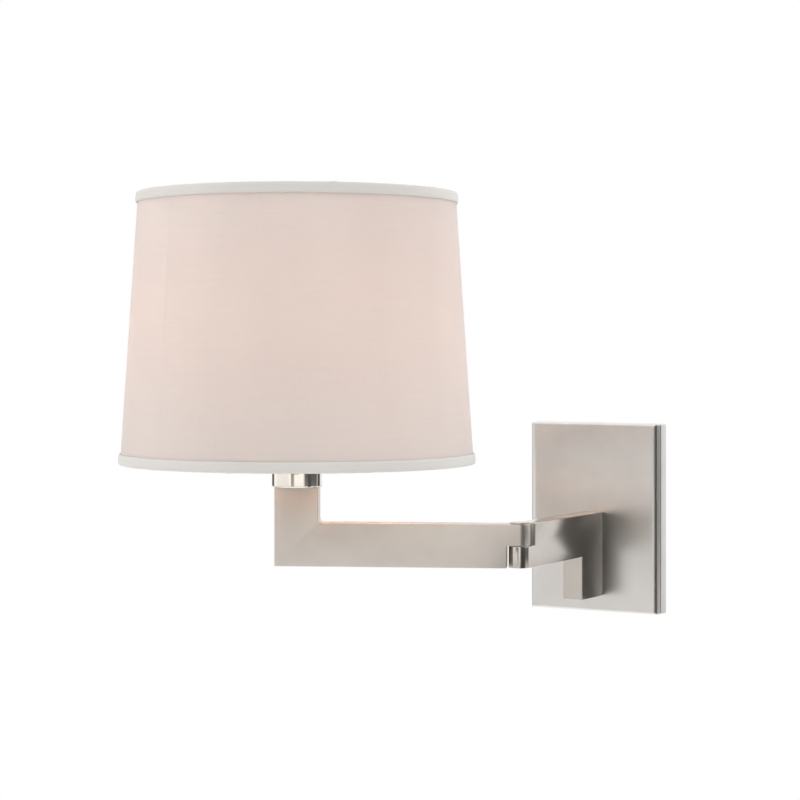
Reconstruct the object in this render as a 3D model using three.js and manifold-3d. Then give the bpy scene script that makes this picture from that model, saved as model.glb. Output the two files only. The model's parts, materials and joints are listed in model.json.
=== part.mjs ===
// Swing-arm wall lamp: a rectangular wall plate on a shallow pan, a flat-bar bracket, a half-lap
// hinge, a flat-bar arm with an upright end, a lampholder with harp, and a tapered drum shade.
// Millimetres. +Z is up, +Y points into the wall and +X to the right as seen from the room.
// The origin is on the wall, at the middle of the mounting strap.
import * as THREE from 'three';
import * as BufferGeometryUtils from 'three/addons/utils/BufferGeometryUtils.js';
import Module from 'manifold-3d';

const wasm = await Module();
wasm.setup();

// Driving dimensions
const gap = 0.3; // air kept between pieces that touch
const barHeight = 31.75; // flat bar, 1 1/4 x 5/8 in
const barWidth = 15.875;
const barDrop = 11.5; // the bar's centreline below the plate's middle

const plateWidth = 108;
const plateHeight = 146;
const plateThickness = 3.8;
const plateEdgeRadius = 3.4; // the front face rolls back to the side
const wallToPlateFront = 15.6;
const panDepth = 10.3;
const panWall = 1.5;
const spacerThickness = 0.9;
const spacerInset = 2.5;
const wireHoleRadius = 4.9; // through plate, spacer and pan, for the bushing
const bushingRadius = 4.6;

const strapHalfWidth = 10;
const strapThickness = 2;
const strapHalfHeight = 69;
const strapEarDepth = 8;
const boxScrewSpacing = 83.8; // screw spacing of a standard ceiling or wall box
const boxSlotReach = 4; // half of the straight stretch of a box screw's slot
const groundScrewZ = 22;
const grubRadius = 2;
const grubLength = 8;
const grubBack = 5; // grub screws' distance in front of the wall

const pivotReach = 130; // plate front to hinge axis
const armReach = 161.9; // hinge axis to lampholder axis
const restSwing = 24; // degrees that the arm stands out from parallel to the wall
const legDepth = 38.1;
const legDrop = 48.8; // foot of the bracket's leg below the bar's centreline
const riserTop = 41.3; // top of the upright above the bar's centreline
const riserCornerRadius = 3;

const lapGap = 0.5; // between the two hinge lugs
const armNotch = 9; // hinge axis to the arm's lower end
const bracketNotch = 9.3; // hinge axis to the bracket's upper end
const pivotRadius = 4;
const pivotBoreRadius = 2.6;
const counterboreRadius = 6.1;
const upperShoulder = 5.5; // bottom of the arm's counterbore
const lowerShoulder = -11.6; // top of the bracket's counterbore
const pivotTubeTop = 8.3;
const channelRadius = 3;
const bracketChannelZ = -8;
const armChannelZ = 11;
const wireRadius = 1.25;

const bracketScrewZ = [8, -40]; // above and below the bar's centreline
const screwRadius = 2.5;
const screwHeadRadius = 4.4;
const washerThickness = 1;

const collarRadius = 18.5;
const collarTop = 60;
const nippleRadius = 4.85;
const nippleBottom = 27;
const nippleTop = 68;
const nippleNutHeight = 3;

const harpHalfWidth = 30; // at the saddle
const harpWireRadius = 1.6;
const saddleBottom = 60.5;
const saddleThickness = 1.5;
const saddlePostTop = 72;
const socketBottom = 62.4;
const socketTop = 120;
const switchZ = 80;
const bulbTipZ = 92.6;
const bulbCapRadius = 13;
const bulbCapTop = 118.2;
const bulbRadius = 30;
const bulbWidestZ = 172;
const hubZ = 240.6; // underside of the spider's hub
const hubThickness = 3.2;
const finialWasherThickness = 1.2;
const finialBoreRadius = 3.5;

const shadeTop = 255.7;
const shadeBottom = 58.55;
const shadeTopRadius = 117; // over the trim
const shadeBottomRadius = 130;
const trimHeight = 7.6;
const trimCloth = 0.8;
const trimStand = 1.5; // how far the trim's face stands out from the cover
const skin = 0.8; // cover's and liner's thickness
const ringWireRadius = 1.2;
const shadeSegments = 48;
const spiderArms = 3;
const spiderWireRadius = 1.5;

const finishes = {
  satinNickel: { color: 0xbfb8b0, roughness: 0.36, metalness: 1 },
  polishedNickel: { color: 0xd9d4cc, roughness: 0.08, metalness: 1 },
  zincSteel: { color: 0xa9adb0, roughness: 0.42, metalness: 1 },
  brass: { color: 0xb8964f, roughness: 0.35, metalness: 1 },
  greenZinc: { color: 0x3f7d4c, roughness: 0.45, metalness: 0.8 },
  blackPhenolic: { color: 0x1d1b1a, roughness: 0.4, metalness: 0 },
  nylon: { color: 0xd9d6cd, roughness: 0.55, metalness: 0 },
  paperboard: { color: 0x9a8a72, roughness: 0.9, metalness: 0 },
  wireCovering: { color: 0xc9b98f, roughness: 0.5, metalness: 0 },
  fauxSilk: { color: 0xe6ded4, roughness: 0.8, metalness: 0 },
  styrene: { color: 0xf4f1ea, roughness: 0.5, metalness: 0 },
  bulbGlass: { color: 0xfff3e0, roughness: 0.35, metalness: 0 },
};

// Geometry helpers

// Merges shared vertices, drops slivers with two equal corners and turns the faces outwards.
function cleaned(geometry) {
  const bare = geometry.clone();
  bare.deleteAttribute('normal');
  bare.deleteAttribute('uv');
  const merged = BufferGeometryUtils.mergeVertices(bare, 1e-4);
  const place = merged.getAttribute('position');
  const source = merged.getIndex().array;
  const corners = [];
  let volume = 0;
  for (let i = 0; i < source.length; i += 3) {
    const [a, b, c] = [source[i], source[i + 1], source[i + 2]];
    if (a === b || b === c || a === c) continue;
    corners.push(a, b, c);
    const first = new THREE.Vector3().fromBufferAttribute(place, a);
    const second = new THREE.Vector3().fromBufferAttribute(place, b);
    const third = new THREE.Vector3().fromBufferAttribute(place, c);
    volume += first.dot(second.cross(third));
  }
  if (volume < 0) corners.reverse();
  merged.setIndex(corners);
  merged.computeVertexNormals();
  return merged;
}

function solidOf(geometry) {
  const closed = cleaned(geometry);
  return new wasm.Manifold(new wasm.Mesh({
    numProp: 3,
    vertProperties: Float32Array.from(closed.getAttribute('position').array),
    triVerts: Uint32Array.from(closed.getIndex().array),
  }));
}

function geometryOf(solid) {
  const mesh = solid.getMesh();
  const geometry = new THREE.BufferGeometry();
  geometry.setAttribute('position', new THREE.BufferAttribute(mesh.vertProperties, 3));
  geometry.setIndex(new THREE.BufferAttribute(mesh.triVerts, 1));
  geometry.computeVertexNormals();
  return geometry;
}

function joined(...parts) {
  return geometryOf(parts.map(solidOf).reduce((whole, part) => whole.add(part)));
}

function cut(body, ...tools) {
  return geometryOf(tools.map(solidOf).reduce((left, tool) => left.subtract(tool), solidOf(body)));
}

function box(x, y, z) {
  const geometry = new THREE.BoxGeometry(x[1] - x[0], y[1] - y[0], z[1] - z[0]);
  return geometry.translate((x[0] + x[1]) / 2, (y[0] + y[1]) / 2, (z[0] + z[1]) / 2);
}

function upright(radius, z0, z1, segments = 24) {
  const geometry = new THREE.CylinderGeometry(radius, radius, z1 - z0, segments);
  return geometry.rotateX(Math.PI / 2).translate(0, 0, (z0 + z1) / 2);
}

function alongY(radius, y0, y1, x, z, segments = 16) {
  const geometry = new THREE.CylinderGeometry(radius, radius, y1 - y0, segments);
  return geometry.translate(x, (y0 + y1) / 2, z);
}

function alongX(radius, x0, x1, z, segments = 16) {
  const geometry = new THREE.CylinderGeometry(radius, radius, x1 - x0, segments);
  return geometry.rotateZ(Math.PI / 2).translate((x0 + x1) / 2, 0, z);
}

// A turned piece about Z from [radius, height] points.
function turned(points, segments = 24) {
  const profile = points.map(([radius, height]) => new THREE.Vector2(radius, height));
  return new THREE.LatheGeometry(profile, segments).rotateX(Math.PI / 2);
}

// A turned piece whose profile closes on itself, so that it leaves the axis free.
function turnedRing(points, segments = 24) {
  return turned([...points, points[0]], segments);
}

function sleeve(inner, outer, z0, z1, segments = 24) {
  return turnedRing([[inner, z0], [outer, z0], [outer, z1], [inner, z1]], segments);
}

function hexNut(acrossFlats, z0, z1, bore) {
  const body = upright(acrossFlats / Math.sqrt(3), z0, z1, 6);
  return cut(body, upright(bore, z0 - 1, z1 + 1, 20));
}

function tube(curve, radius, steps, sides) {
  const corners = [];
  for (let i = 0; i < sides; i += 1) {
    const turn = (i / sides) * 2 * Math.PI;
    corners.push(new THREE.Vector2(radius * Math.cos(turn), radius * Math.sin(turn)));
  }
  const section = new THREE.Shape(corners);
  return new THREE.ExtrudeGeometry(section, { steps, extrudePath: curve, bevelEnabled: false });
}

function smoothPath(points) {
  const corners = points.map(([x, y, z]) => new THREE.Vector3(x, y, z));
  return new THREE.CatmullRomCurve3(corners, false, 'centripetal');
}

function wireRing(radius, wireSize, z) {
  return new THREE.TorusGeometry(radius, wireSize, 6, shadeSegments).translate(0, 0, z);
}

// Radius over the trim's face at a height of the shade.
function shadeRadius(z) {
  const share = (z - shadeBottom) / (shadeTop - shadeBottom);
  return shadeBottomRadius + (shadeTopRadius - shadeBottomRadius) * share;
}

// Pieces

function frontPlate() {
  const front = -wallToPlateFront;
  const back = front + plateThickness;
  const halfWidth = plateWidth / 2;
  const halfHeight = plateHeight / 2;
  const face = new THREE.Shape();
  face.moveTo(plateEdgeRadius - halfWidth, plateEdgeRadius - halfHeight);
  face.lineTo(halfWidth - plateEdgeRadius, plateEdgeRadius - halfHeight);
  face.lineTo(halfWidth - plateEdgeRadius, halfHeight - plateEdgeRadius);
  face.lineTo(plateEdgeRadius - halfWidth, halfHeight - plateEdgeRadius);
  const straight = 2 * (plateThickness - plateEdgeRadius);
  const pillow = new THREE.ExtrudeGeometry(face, {
    depth: straight,
    bevelEnabled: true,
    bevelThickness: plateEdgeRadius,
    bevelSize: plateEdgeRadius,
    bevelSegments: 5,
  });
  pillow.rotateX(Math.PI / 2).translate(0, back + straight / 2, 0);
  const rearHalf = box([-plateWidth, plateWidth], [back, back + 10], [-plateHeight, plateHeight]);
  return cut(pillow, rearHalf, ...plateHoles());
}

// Cutters for the bracket's screws and the wire where they pass the plate, spacer and pan.
function plateHoles() {
  const front = -wallToPlateFront - 1;
  const holes = bracketScrewZ.map((z) => alongY(screwRadius + gap, front, -5, 0, z - barDrop));
  holes.push(alongY(wireHoleRadius, front, -5, 0, bracketChannelZ - barDrop));
  return holes;
}

function shadowSpacer() {
  const front = -wallToPlateFront + plateThickness + gap;
  const sheet = box(
    [-plateWidth / 2 + spacerInset, plateWidth / 2 - spacerInset],
    [front, front + spacerThickness],
    [-plateHeight / 2 + spacerInset, plateHeight / 2 - spacerInset],
  );
  return cut(sheet, ...plateHoles());
}

function backPan() {
  const tray = box(
    [-plateWidth / 2, plateWidth / 2],
    [-panDepth, 0],
    [-plateHeight / 2, plateHeight / 2],
  );
  const inside = box(
    [-plateWidth / 2 + panWall, plateWidth / 2 - panWall],
    [-panDepth + panWall, 1],
    [-plateHeight / 2 + panWall, plateHeight / 2 - panWall],
  );
  return cut(tray, inside, grubHoles(), ...plateHoles());
}

// One cutter for the grub screws at the top and the bottom of pan and strap.
function grubHoles() {
  return upright(grubRadius + gap, -plateHeight, plateHeight, 16).translate(0, -grubBack, 0);
}

function mountingStrap() {
  const bar = box(
    [-strapHalfWidth, strapHalfWidth],
    [-strapThickness, 0],
    [-strapHalfHeight, strapHalfHeight],
  );
  const ears = [-1, 1].map((side) => {
    const ends = [side * (strapHalfHeight - strapThickness), side * strapHalfHeight];
    return box([-strapHalfWidth, strapHalfWidth], [-strapEarDepth, 0], ends.sort((a, b) => a - b));
  });
  const slots = [-1, 1].flatMap((side) => {
    const z = (side * boxScrewSpacing) / 2;
    const middle = box([-boxSlotReach, boxSlotReach], [-5, 5], [z - screwRadius, z + screwRadius]);
    const ends = [-boxSlotReach, boxSlotReach].map((x) => alongY(screwRadius, -5, 5, x, z));
    return [middle, ...ends];
  });
  const groundHole = alongY(grubRadius + gap, -5, 5, 0, groundScrewZ, 16);
  return cut(joined(bar, ...ears), ...slots, groundHole, grubHoles());
}

function grubScrew(side) {
  const outer = plateHeight / 2;
  const shank = upright(grubRadius, outer - grubLength, outer, 20);
  const socket = upright(1.15, outer - 2, outer + 1, 6);
  const screw = cut(shank, socket);
  if (side < 0) screw.rotateX(Math.PI);
  return screw.translate(0, -grubBack, 0);
}

function groundScrew() {
  const headBack = -strapThickness - gap;
  const shank = alongY(grubRadius, headBack - 1, -gap, 0, groundScrewZ, 16);
  const head = alongY(screwHeadRadius, headBack - 2.6, headBack, 0, groundScrewZ, 6);
  const slot = box([-5, 5], [headBack - 4, headBack - 1.6], [groundScrewZ - 0.6, groundScrewZ + 0.6]);
  return cut(joined(shank, head), slot);
}

function bracketScrew(z) {
  const headFront = -panDepth + panWall + gap + washerThickness + gap;
  const threadEnd = -wallToPlateFront - 10;
  const shank = alongY(screwRadius, threadEnd, headFront + 1, 0, z, 20);
  const head = alongY(screwHeadRadius, headFront, headFront + 3, 0, z, 24);
  const slotWide = box([-3, 3], [headFront + 1.4, headFront + 4], [z - 0.5, z + 0.5]);
  const slotTall = box([-0.5, 0.5], [headFront + 1.4, headFront + 4], [z - 3, z + 3]);
  return cut(joined(shank, head), slotWide, slotTall);
}

function bracketWasher(z) {
  const front = -panDepth + panWall + gap;
  const disc = alongY(5.5, front, front + washerThickness, 0, z, 24);
  return cut(disc, alongY(screwRadius + gap, front - 1, front + 2, 0, z, 20));
}

function wireBushing() {
  const z = bracketChannelZ - barDrop;
  const flangeFront = -panDepth + panWall + gap;
  const barrel = alongY(bushingRadius, -wallToPlateFront + gap, flangeFront + 0.5, 0, z);
  const flange = alongY(6.6, flangeFront, flangeFront + 1.3, 0, z);
  return cut(joined(barrel, flange), alongY(3, -20, 0, 0, z));
}

// The bracket, about the hinge axis: lower lug, bar and leg.
function wallBracket() {
  const low = -barHeight / 2;
  const high = barHeight / 2;
  const plateEnd = pivotReach - gap;
  const side = new THREE.Shape();
  side.moveTo(0, low);
  side.lineTo(pivotReach - legDepth, low);
  side.lineTo(pivotReach - legDepth, -legDrop);
  side.lineTo(plateEnd, -legDrop);
  side.lineTo(plateEnd, high);
  side.lineTo(bracketNotch, high);
  side.lineTo(bracketNotch, -lapGap / 2);
  side.lineTo(0, -lapGap / 2);
  const bar = new THREE.ExtrudeGeometry(side, { depth: barWidth, bevelEnabled: false });
  const axes = [new THREE.Vector3(0, 1, 0), new THREE.Vector3(0, 0, 1), new THREE.Vector3(1, 0, 0)];
  bar.applyMatrix4(new THREE.Matrix4().makeBasis(...axes)).translate(-barWidth / 2, 0, 0);
  const lug = upright(barWidth / 2, low, -lapGap / 2, 40);
  const bore = upright(pivotRadius + gap, low - 1, 1);
  const washerRecess = upright(7, -1.5, 1);
  const counterbore = upright(counterboreRadius, low - 1, lowerShoulder);
  const channel = alongY(channelRadius, 0, pivotReach + 1, 0, bracketChannelZ);
  const screwHoles = bracketScrewZ.map((z) => {
    return alongY(screwRadius + gap, pivotReach - 11, pivotReach + 1, 0, z);
  });
  return cut(joined(bar, lug), bore, washerRecess, counterbore, channel, ...screwHoles);
}

function pivotTube() {
  const low = lowerShoulder - 2.9;
  const wall = sleeve(pivotBoreRadius, pivotRadius, low, pivotTubeTop);
  return cut(wall, box([-2.1, 2.1], [0, 6], [-10.8, -4]));
}

// Wire from the pan through the bracket into the hinge's hollow pivot.
function wallWire() {
  const plateFace = pivotReach + wallToPlateFront;
  const path = smoothPath([
    [24, plateFace - 4.8, 26],
    [22, plateFace - 4.6, 8],
    [13, plateFace - 4.6, -4],
    [4.6, plateFace - 4.6, -7.6],
    [1.2, plateFace - 5.8, bracketChannelZ],
    [0, plateFace - 9, bracketChannelZ],
    [0, plateFace - 14, bracketChannelZ],
    [0, plateFace - 30, bracketChannelZ],
    [0, 60, bracketChannelZ],
    [0, 9, bracketChannelZ],
    [0, 5, -7.6],
    [0, 1.6, -5.6],
    [0, 0.2, -2.4],
    [0, 0, -0.3],
  ]);
  return tube(path, wireRadius, 44, 6);
}

// The arm, with its hinge axis on Z and the bar along +X.
function swingArm() {
  const low = -barHeight / 2;
  const high = barHeight / 2;
  const inner = armReach - barHeight / 2;
  const outer = armReach + barHeight / 2;
  const side = new THREE.Shape();
  side.moveTo(armNotch, low);
  side.lineTo(outer, low);
  side.lineTo(outer, riserTop);
  side.lineTo(inner, riserTop);
  side.lineTo(inner, high + riserCornerRadius);
  const corner = [inner - riserCornerRadius, high + riserCornerRadius];
  side.absarc(...corner, riserCornerRadius, 0, -Math.PI / 2, true);
  side.lineTo(0, high);
  side.lineTo(0, lapGap / 2);
  side.lineTo(armNotch, lapGap / 2);
  const settings = { depth: barWidth, bevelEnabled: false, curveSegments: 5 };
  const bar = new THREE.ExtrudeGeometry(side, settings);
  bar.rotateX(Math.PI / 2).translate(0, barWidth / 2, 0);
  const lug = upright(barWidth / 2, lapGap / 2, high, 40);
  const bore = upright(pivotRadius + gap, -1, high);
  const counterbore = upright(counterboreRadius, upperShoulder, high + 1);
  const channel = alongX(channelRadius, 0, armReach, armChannelZ);
  const riserBore = upright(nippleRadius + gap, nippleBottom - 1, riserTop + 1).translate(armReach, 0, 0);
  const riserWireway = upright(4, armChannelZ - 2.5, nippleBottom).translate(armReach, 0, 0);
  return cut(joined(bar, lug), bore, counterbore, channel, riserBore, riserWireway);
}

// Wire from the hollow pivot through the arm and up to the lampholder.
function armWire() {
  const path = smoothPath([
    [0, 0, 0.4],
    [0, 0, 6.5],
    [0.9, 0, 9.4],
    [3.6, 0, 10.8],
    [8, 0, armChannelZ],
    [60, 0, armChannelZ],
    [armReach - 8, 0, armChannelZ],
    [armReach - 4, 0, armChannelZ + 0.3],
    [armReach - 1.2, 0, armChannelZ + 2.4],
    [armReach - 0.2, 0, armChannelZ + 6],
    [armReach, 0, 22],
    [armReach, 0, 45],
    [armReach, 0, nippleTop - 1],
  ]);
  return tube(path, wireRadius, 44, 6);
}

function topCap() {
  const high = barHeight / 2;
  return turned([
    [0, high - 1.4],
    [5.8, high - 1.4],
    [5.8, high + 0.25],
    [7, high + 0.25],
    [7, high + 0.75],
    [6.6, high + 1.1],
    [0, high + 1.25],
  ]);
}

function bottomCap() {
  const low = -barHeight / 2;
  return upright(counterboreRadius - gap, low, low + 1.1);
}

function socketCollar() {
  const bottom = riserTop + gap;
  return turnedRing([
    [nippleRadius + gap, bottom],
    [collarRadius - 2, bottom],
    [collarRadius - 0.9, bottom + 0.3],
    [collarRadius - 0.2, bottom + 1],
    [collarRadius, bottom + 2],
    [collarRadius, collarTop - 0.6],
    [collarRadius - 0.5, collarTop],
    [collarRadius - 1.2, collarTop],
    [collarRadius - 1.2, bottom + 1.5],
    [nippleRadius + gap, bottom + 1.5],
  ], 36);
}

function harpSaddle() {
  const top = saddleBottom + saddleThickness;
  const strip = box([-harpHalfWidth - 3, harpHalfWidth + 3], [-5, 5], [saddleBottom, top]);
  const boss = upright(9, saddleBottom, top);
  const posts = [-1, 1].map((side) => {
    return upright(harpWireRadius, top - 0.5, saddlePostTop, 12).translate(side * harpHalfWidth, 0, 0);
  });
  return cut(joined(strip, boss, ...posts), upright(nippleRadius + gap, saddleBottom - 1, top + 1));
}

function harpSleeve(side) {
  const shell = sleeve(harpWireRadius + gap, harpWireRadius + 1.6, saddlePostTop - 6, saddlePostTop + 8, 20);
  return shell.translate(side * harpHalfWidth, 0, 0);
}

function harp() {
  const half = [
    [harpHalfWidth, 0, saddlePostTop + gap],
    [harpHalfWidth, 0, saddlePostTop + 12],
    [harpHalfWidth + 5, 0, 104],
    [harpHalfWidth + 13, 0, 140],
    [harpHalfWidth + 14, 0, 176],
    [harpHalfWidth + 5, 0, 208],
    [harpHalfWidth - 12, 0, 229],
    [7, 0, 236.2],
  ];
  const mirrored = half.map(([x, y, z]) => [-x, y, z]).reverse();
  const loop = tube(smoothPath([...half, [0, 0, 236.6], ...mirrored]), harpWireRadius, 40, 6);
  const seat = upright(7, 235.4, hubZ - gap, 24);
  const stud = upright(3.1, 236, 253, 20);
  return joined(loop, seat, stud);
}

function socketCap() {
  const flatTop = socketBottom + 1;
  return turnedRing([
    [nippleRadius + gap, socketBottom],
    [10, socketBottom],
    [15, socketBottom + 2.2],
    [17, socketBottom + 5.5],
    [17, socketBottom + 16],
    [16.2, socketBottom + 16],
    [16.2, socketBottom + 6],
    [14.4, socketBottom + 3.2],
    [9.8, flatTop],
    [nippleRadius + gap, flatTop],
  ]);
}

function socketShell() {
  const wall = turnedRing([
    [15.2, socketBottom + 12],
    [15.9, socketBottom + 12],
    [15.9, socketTop - 5],
    [16.5, socketTop - 4],
    [16.5, socketTop],
    [15.8, socketTop],
    [15.8, socketTop - 3.6],
    [15.2, socketTop - 4.6],
  ]);
  return cut(wall, alongY(3.2, 5, 20, 0, switchZ));
}

function socketInsulator() {
  const wall = sleeve(14.2, 14.9, socketBottom + 9, socketTop - 5);
  return cut(wall, alongY(3.2, 5, 20, 0, switchZ));
}

function socketBody() {
  const block = turned([
    [0, nippleTop + 1],
    [11, nippleTop + 1],
    [13.4, nippleTop + 3],
    [13.4, 90],
    [0, 90],
  ]);
  return cut(block, alongY(1.9, 6, 20, 0, switchZ, 16));
}

function screwShell() {
  return sleeve(13.3, 13.8, 93, socketTop - 3);
}

function centreContact() {
  const base = box([-4.5, 4.5], [-2.5, 2.5], [90.3, 91.2]);
  const raised = box([-2, 4.5], [-2.5, 2.5], [91, 92.2]);
  return joined(base, raised);
}

function switchStem() {
  return alongY(1.5, 7, 36, 0, switchZ, 16);
}

function switchKnob() {
  const grip = alongY(5.5, 24, 37.5, 0, switchZ, 20);
  const flange = alongY(6.6, 23, 26, 0, switchZ, 20);
  return cut(joined(grip, flange), alongY(1.8, 22, 36.4, 0, switchZ, 16));
}

function bulbGlass() {
  const profile = [[0, bulbCapTop + gap], [12.6, bulbCapTop + gap], [13.2, bulbCapTop + 5]];
  const neck = new THREE.CubicBezierCurve(
    new THREE.Vector2(13.6, bulbCapTop + 9),
    new THREE.Vector2(15.4, bulbCapTop + 22),
    new THREE.Vector2(bulbRadius, bulbCapTop + 29),
    new THREE.Vector2(bulbRadius, bulbWidestZ),
  );
  for (const point of neck.getPoints(6)) profile.push([point.x, point.y]);
  for (let i = 1; i <= 6; i += 1) {
    const turn = (i / 6) * (Math.PI / 2);
    const radius = i === 6 ? 0 : bulbRadius * Math.cos(turn);
    profile.push([radius, bulbWidestZ + bulbRadius * Math.sin(turn)]);
  }
  return turned(profile);
}

function bulbCap() {
  return turned([
    [0, bulbTipZ + 2],
    [7, bulbTipZ + 2],
    [bulbCapRadius - 1, bulbTipZ + 5],
    [bulbCapRadius, bulbTipZ + 7],
    [bulbCapRadius, bulbCapTop],
    [0, bulbCapTop],
  ]);
}

function bulbContact() {
  return upright(4.6, bulbTipZ, bulbTipZ + 1.7, 20);
}

// Centreline radius of a wire ring inside the liner, at one edge of the shade.
function ringRadius(edge) {
  return shadeRadius(edge) - trimStand - 2 * skin - 2 * gap - ringWireRadius;
}

function spiderArm(turn, radius) {
  const ring = ringRadius(shadeTop);
  const ringZ = shadeTop - trimCloth - gap - ringWireRadius;
  const middle = hubZ + 1.6;
  const path = smoothPath([
    [7, 0, middle],
    [ring - 40, 0, middle],
    [ring - 22, 0, middle + 1.5],
    [ring - 8, 0, ringZ - 2],
    [ring, 0, ringZ],
  ]);
  return tube(path, radius, 12, 6).rotateZ(turn);
}

function armTurns() {
  return Array.from({ length: spiderArms }, (_, i) => ((i + 0.25) / spiderArms) * 2 * Math.PI);
}

function topFitter() {
  const ringZ = shadeTop - trimCloth - gap - ringWireRadius;
  const hub = upright(11, hubZ, hubZ + hubThickness);
  const arms = armTurns().map((turn) => spiderArm(turn, spiderWireRadius));
  const welded = joined(wireRing(ringRadius(shadeTop), ringWireRadius, ringZ), hub, ...arms);
  return cut(welded, upright(finialBoreRadius, hubZ - 1, hubZ + 5, 24));
}

function bottomRing() {
  const ringZ = shadeBottom + trimCloth + gap + ringWireRadius;
  return wireRing(ringRadius(shadeBottom), ringWireRadius, ringZ);
}

// A conical skin of the shade whose outer face lies at a given depth behind the trim's face.
function shadeSkin(depth, thickness) {
  const low = shadeBottom + trimCloth + gap;
  const high = shadeTop - trimCloth - gap;
  const outerLow = shadeRadius(low) - depth;
  const outerHigh = shadeRadius(high) - depth;
  return turnedRing([
    [outerLow, low],
    [outerHigh, high],
    [outerHigh - thickness, high],
    [outerLow - thickness, low],
  ], shadeSegments);
}

// A folded strip of cloth over the shade's edge and its wire ring.
function shadeTrim(edge, inward) {
  const far = edge + inward * trimHeight;
  const under = edge + inward * trimCloth;
  const reach = trimStand + 2 * skin + 3 * gap + 2 * ringWireRadius;
  const face = shadeRadius(edge);
  const farFace = shadeRadius(far);
  return turnedRing([
    [face, edge],
    [farFace, far],
    [farFace - trimStand + gap, far],
    [face - trimStand + gap, under],
    [face - reach, under],
    [farFace - reach, far],
    [farFace - reach - trimCloth, far],
    [face - reach - trimCloth, edge],
  ], shadeSegments);
}

function topTrim() {
  return cut(shadeTrim(shadeTop, -1), ...armTurns().map((turn) => spiderArm(turn, spiderWireRadius + 0.4)));
}

function finial() {
  const base = hubZ + hubThickness + gap + finialWasherThickness + gap;
  return turned([
    [0, base + 15.4],
    [2.6, base + 15],
    [5.4, base + 13],
    [6.6, base + 10],
    [5.6, base + 7],
    [3.9, base + 5],
    [4.4, base + 3.4],
    [7.6, base + 2],
    [7.6, base],
    [3.4, base],
    [3.4, base + 8.5],
    [0, base + 8.5],
  ]);
}

// Assembly

const lamp = new THREE.Group();

const hinge = new THREE.Group();
hinge.position.set(0, -wallToPlateFront - pivotReach, -barDrop);
lamp.add(hinge);

const arm = new THREE.Group();
arm.rotation.z = THREE.MathUtils.degToRad(180 + restSwing);
hinge.add(arm);

const head = new THREE.Group();
head.position.x = armReach;
arm.add(head);

function add(group, name, geometry, finish) {
  const mesh = new THREE.Mesh(cleaned(geometry), new THREE.MeshStandardMaterial(finish));
  mesh.name = name;
  group.add(mesh);
}

add(lamp, 'front_plate', frontPlate(), finishes.satinNickel);
add(lamp, 'shadow_spacer', shadowSpacer(), finishes.blackPhenolic);
add(lamp, 'back_pan', backPan(), finishes.satinNickel);
add(lamp, 'mounting_strap', mountingStrap(), finishes.zincSteel);
add(lamp, 'set_screw_top', grubScrew(1), finishes.zincSteel);
add(lamp, 'set_screw_bottom', grubScrew(-1), finishes.zincSteel);
add(lamp, 'ground_screw', groundScrew(), finishes.greenZinc);
['upper', 'lower'].forEach((place, i) => {
  const z = bracketScrewZ[i] - barDrop;
  add(lamp, `bracket_screw_${place}`, bracketScrew(z), finishes.zincSteel);
  add(lamp, `bracket_washer_${place}`, bracketWasher(z), finishes.zincSteel);
});
add(lamp, 'wire_bushing', wireBushing(), finishes.nylon);

add(hinge, 'wall_bracket', wallBracket(), finishes.satinNickel);
add(hinge, 'wire_wall', wallWire(), finishes.wireCovering);
add(hinge, 'pivot_tube', pivotTube(), finishes.zincSteel);
add(hinge, 'pivot_washer', sleeve(pivotRadius + gap, 6.7, -1.2, -0.05), finishes.nylon);
const bottomNut = [lowerShoulder - gap - 2.2, lowerShoulder - gap];
add(hinge, 'pivot_nut_bottom', hexNut(10, ...bottomNut, pivotRadius + gap), finishes.zincSteel);
const topNut = [upperShoulder + gap, upperShoulder + gap + 2.2];
add(hinge, 'pivot_nut_top', hexNut(10, ...topNut, pivotRadius + gap), finishes.zincSteel);
add(hinge, 'pivot_cap_bottom', bottomCap(), finishes.satinNickel);

add(arm, 'swing_arm', swingArm(), finishes.satinNickel);
add(arm, 'wire_arm', armWire(), finishes.wireCovering);
add(arm, 'pivot_cap_top', topCap(), finishes.satinNickel);

add(head, 'riser_nipple', sleeve(3.1, nippleRadius, nippleBottom, nippleTop, 24), finishes.zincSteel);
const collarSeat = riserTop + gap + 1.5 + gap;
const collarNut = [collarSeat, collarSeat + nippleNutHeight];
add(head, 'collar_nut', hexNut(14, ...collarNut, nippleRadius + gap), finishes.zincSteel);
const saddleNut = [saddleBottom - gap - nippleNutHeight, saddleBottom - gap];
add(head, 'saddle_nut', hexNut(14, ...saddleNut, nippleRadius + gap), finishes.zincSteel);
add(head, 'socket_collar', socketCollar(), finishes.polishedNickel);
add(head, 'harp_saddle', harpSaddle(), finishes.zincSteel);
add(head, 'harp_sleeve_left', harpSleeve(1), finishes.zincSteel);
add(head, 'harp_sleeve_right', harpSleeve(-1), finishes.zincSteel);
add(head, 'harp', harp(), finishes.zincSteel);
add(head, 'socket_cap', socketCap(), finishes.satinNickel);
add(head, 'socket_shell', socketShell(), finishes.satinNickel);
add(head, 'socket_insulator', socketInsulator(), finishes.paperboard);
add(head, 'socket_body', socketBody(), finishes.blackPhenolic);
add(head, 'screw_shell', screwShell(), finishes.brass);
add(head, 'centre_contact', centreContact(), finishes.brass);
add(head, 'switch_stem', switchStem(), finishes.brass);
add(head, 'switch_knob', switchKnob(), finishes.blackPhenolic);
add(head, 'bulb_glass', bulbGlass(), finishes.bulbGlass);
add(head, 'bulb_cap', bulbCap(), finishes.zincSteel);
add(head, 'bulb_contact', bulbContact(), finishes.brass);
add(head, 'top_fitter', topFitter(), finishes.zincSteel);
add(head, 'bottom_ring', bottomRing(), finishes.zincSteel);
add(head, 'shade_cover', shadeSkin(trimStand, skin), finishes.fauxSilk);
add(head, 'shade_liner', shadeSkin(trimStand + skin + gap, skin), finishes.styrene);
add(head, 'shade_trim_top', topTrim(), finishes.fauxSilk);
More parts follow.
